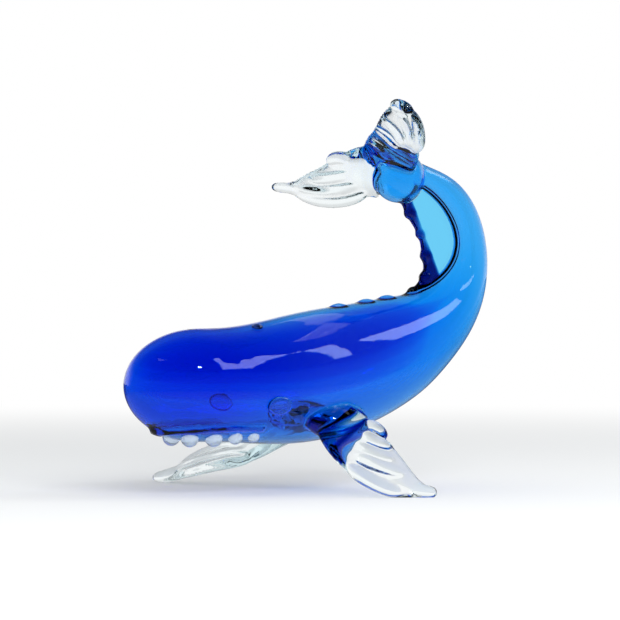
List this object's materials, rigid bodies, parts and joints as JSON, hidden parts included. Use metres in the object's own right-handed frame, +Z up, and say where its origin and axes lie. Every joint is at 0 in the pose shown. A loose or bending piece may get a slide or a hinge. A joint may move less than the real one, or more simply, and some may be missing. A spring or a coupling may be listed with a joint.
{
  "type": "whale figurine",
  "caption": "Glass sperm whale ornament resting on two spread flippers, with its tail curled up over its back and a knuckled crest inside the curl.",
  "frame": {"origin": "on the table, under the middle of the whole figure's box", "axes": "+Z up; the head points along -X; the whale's left side faces -Y"},
  "size_m": [0.116, 0.1038, 0.1061],
  "materials": {
    "clear_casing": "clear aqua glass, fire-polished",
    "blue_core": "cobalt-blue glass, sealed inside the casing",
    "tinted_clear": "aqua-tinted glass, fire-polished",
    "fin_clear": "clear glass, pinched and fire-polished",
    "eye_blue": "blue glass drop",
    "dark_bead": "near-black glass bead",
    "dark_trail": "dark blue glass trail",
    "tooth_clear": "clear glass drops"
  },
  "bodies": {
    "root": {"body_casing": "clear_casing", "body_core": "blue_core", "dorsal_crest": "tinted_clear", "back_knuckles": "tinted_clear", "fluke_knob": "tinted_clear", "left_fluke_lobe": "fin_clear", "right_fluke_lobe": "fin_clear", "left_flipper": "fin_clear", "right_flipper": "fin_clear", "left_eye": "eye_blue", "right_eye": "eye_blue", "blowhole": "dark_bead", "jaw": "dark_trail", "left_teeth": "tooth_clear", "right_teeth": "tooth_clear"}
  },
  "joints": []
}
